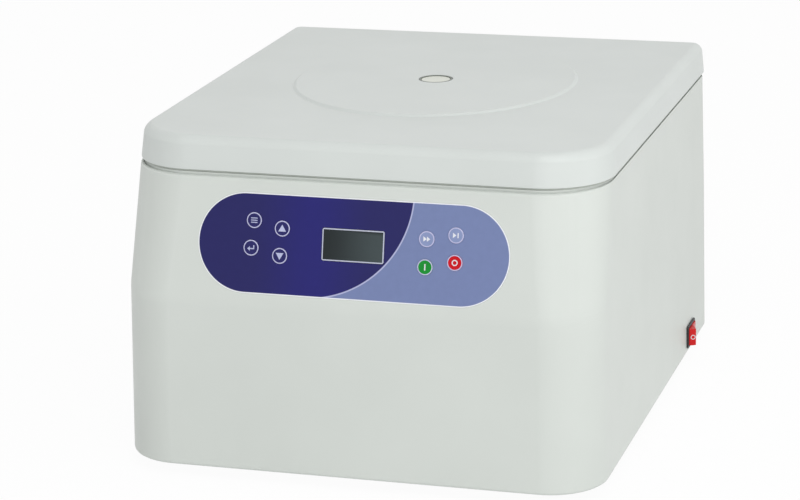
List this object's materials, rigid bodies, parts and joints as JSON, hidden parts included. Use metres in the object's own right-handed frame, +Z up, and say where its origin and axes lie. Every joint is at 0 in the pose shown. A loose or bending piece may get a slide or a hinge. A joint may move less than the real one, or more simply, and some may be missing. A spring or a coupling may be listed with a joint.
{
  "type": "benchtop centrifuge",
  "caption": "Moulded bench centrifuge with a sloped key panel, hinged locking lid with a round window, steel chamber and swing-out bucket rotor on a rubber-mounted motor.",
  "frame": {"origin": "on the bench under the middle of the part's bounding box, level with the rubber feet", "axes": "+Z up, +Y from the sloped control panel at the front to the back wall with the hinges, +X to the right-hand side with the rocker switch"},
  "size_m": [0.3872, 0.4544, 0.2644],
  "materials": {
    "housing": "light grey moulded plastic, satin",
    "lid": "light grey moulded plastic, satin",
    "lens": "frosted cream plastic window",
    "rim": "grey plastic sleeve",
    "overlay": "printed film, dark blue and pale blue-grey fields with white lines",
    "key_blue": "dark blue cap with a pale ring",
    "key_pale": "pale blue cap with a pale ring",
    "key_green": "green cap with a pale ring",
    "key_red": "red cap with a pale ring",
    "display": "dark grey-green display window",
    "circuit": "green circuit board",
    "rubber": "black rubber, matt",
    "black_plastic": "black plastic, fine texture",
    "red_plastic": "red rocker, glossy",
    "steel": "brushed stainless steel",
    "sheet": "zinc-plated sheet steel",
    "aluminium": "turned aluminium, anodised clear",
    "cast_iron": "dark coated iron",
    "copper": "laminated core round a varnished copper coil"
  },
  "bodies": {
    "housing": {"housing_shell": "housing", "base_tray": "sheet", "rear_panel": "black_plastic", "chamber_bowl": "steel", "bowl_seal": "rubber", "shaft_boot": "rubber", "motor_plate": "sheet", "motor_case": "cast_iron", "motor_damper_1": "rubber", "motor_damper_2": "rubber", "motor_damper_3": "rubber", "main_board": "circuit", "transformer": "copper", "power_inlet": "black_plastic", "fuse_holder": "black_plastic", "lock_bracket": "sheet", "lock_solenoid": "cast_iron", "lid_switch": "black_plastic", "foot_front_left": "rubber", "foot_front_right": "rubber", "foot_rear_left": "rubber", "foot_rear_right": "rubber", "panel_overlay": "overlay", "display_window": "display", "display_module": "black_plastic", "panel_board": "circuit", "switch_bezel": "black_plastic", "fan_frame": "black_plastic", "hinge_leaf_body_left": "steel", "hinge_leaf_body_right": "steel", "hinge_pin_left": "steel", "hinge_pin_right": "steel"},
    "lid": {"lid_shell": "lid", "lid_liner": "lid", "window_sleeve": "rim", "lid_window": "lens", "lid_striker": "steel", "hinge_leaf_lid_left": "steel", "hinge_leaf_lid_right": "steel"},
    "rotor": {"drive_shaft": "steel", "rotor_head": "aluminium", "rotor_nut": "aluminium"},
    "bucket_right": {"bucket_1": "steel"},
    "bucket_back": {"bucket_2": "steel"},
    "bucket_left": {"bucket_3": "steel"},
    "bucket_front": {"bucket_4": "steel"},
    "lock_bolt": {"lock_bolt": "steel"},
    "power_rocker": {"switch_rocker": "red_plastic"},
    "fan_rotor": {"fan_impeller": "black_plastic"},
    "set_key": {"key_set": "key_blue"},
    "enter_key": {"key_enter": "key_blue"},
    "up_key": {"key_up": "key_blue"},
    "down_key": {"key_down": "key_blue"},
    "force_key": {"key_force": "key_pale"},
    "short_key": {"key_short": "key_pale"},
    "start_key": {"key_start": "key_green"},
    "stop_key": {"key_stop": "key_red"}
  },
  "joints": [
    {"name": "lid_hinge", "type": "hinge", "parent": "housing", "child": "lid", "pos_m": [-0.00361, 0.22275, 0.2363], "axis": [-1, 0, 0], "range_deg": [0, 85]},
    {"name": "rotor_spin", "type": "hinge", "parent": "housing", "child": "rotor", "pos_m": [-0.00361, 0.02575, 0.2], "axis": [0, 0, 1], "continuous": true},
    {"name": "bucket_right_swing", "type": "hinge", "parent": "rotor", "child": "bucket_right", "pos_m": [0.05839, 0.02575, 0.2056], "axis": [0, -1, 0], "range_deg": [0, 90]},
    {"name": "bucket_back_swing", "type": "hinge", "parent": "rotor", "child": "bucket_back", "pos_m": [-0.00361, 0.08775, 0.2056], "axis": [1, 0, 0], "range_deg": [0, 90]},
    {"name": "bucket_left_swing", "type": "hinge", "parent": "rotor", "child": "bucket_left", "pos_m": [-0.06561, 0.02575, 0.2056], "axis": [0, 1, 0], "range_deg": [0, 90]},
    {"name": "bucket_front_swing", "type": "hinge", "parent": "rotor", "child": "bucket_front", "pos_m": [-0.00361, -0.03625, 0.2056], "axis": [-1, 0, 0], "range_deg": [0, 90]},
    {"name": "lock_bolt_slide", "type": "slide", "parent": "housing", "child": "lock_bolt", "axis": [1, 0, 0], "range_m": [0, 0.012], "stiffness_N_per_m": 60},
    {"name": "power_rocker_tilt", "type": "hinge", "parent": "housing", "child": "power_rocker", "pos_m": [0.18529, 0.13975, 0.0238], "axis": [0, 0, 1], "range_deg": [0, 24]},
    {"name": "fan_spin", "type": "hinge", "parent": "housing", "child": "fan_rotor", "pos_m": [-0.08861, 0.20135, 0.0695], "axis": [0, 1, 0], "continuous": true},
    {"name": "set_key_press", "type": "slide", "parent": "housing", "child": "set_key", "axis": [0, 0.9751, -0.2218], "range_m": [0, 0.0005], "stiffness_N_per_m": 300},
    {"name": "enter_key_press", "type": "slide", "parent": "housing", "child": "enter_key", "axis": [0, 0.9751, -0.2218], "range_m": [0, 0.0005], "stiffness_N_per_m": 300},
    {"name": "up_key_press", "type": "slide", "parent": "housing", "child": "up_key", "axis": [0, 0.9751, -0.2218], "range_m": [0, 0.0005], "stiffness_N_per_m": 300},
    {"name": "down_key_press", "type": "slide", "parent": "housing", "child": "down_key", "axis": [0, 0.9751, -0.2218], "range_m": [0, 0.0005], "stiffness_N_per_m": 300},
    {"name": "force_key_press", "type": "slide", "parent": "housing", "child": "force_key", "axis": [0, 0.9751, -0.2218], "range_m": [0, 0.0005], "stiffness_N_per_m": 300},
    {"name": "short_key_press", "type": "slide", "parent": "housing", "child": "short_key", "axis": [0, 0.9751, -0.2218], "range_m": [0, 0.0005], "stiffness_N_per_m": 300},
    {"name": "start_key_press", "type": "slide", "parent": "housing", "child": "start_key", "axis": [0, 0.9751, -0.2218], "range_m": [0, 0.0005], "stiffness_N_per_m": 300},
    {"name": "stop_key_press", "type": "slide", "parent": "housing", "child": "stop_key", "axis": [0, 0.9751, -0.2218], "range_m": [0, 0.0005], "stiffness_N_per_m": 300}
  ]
}
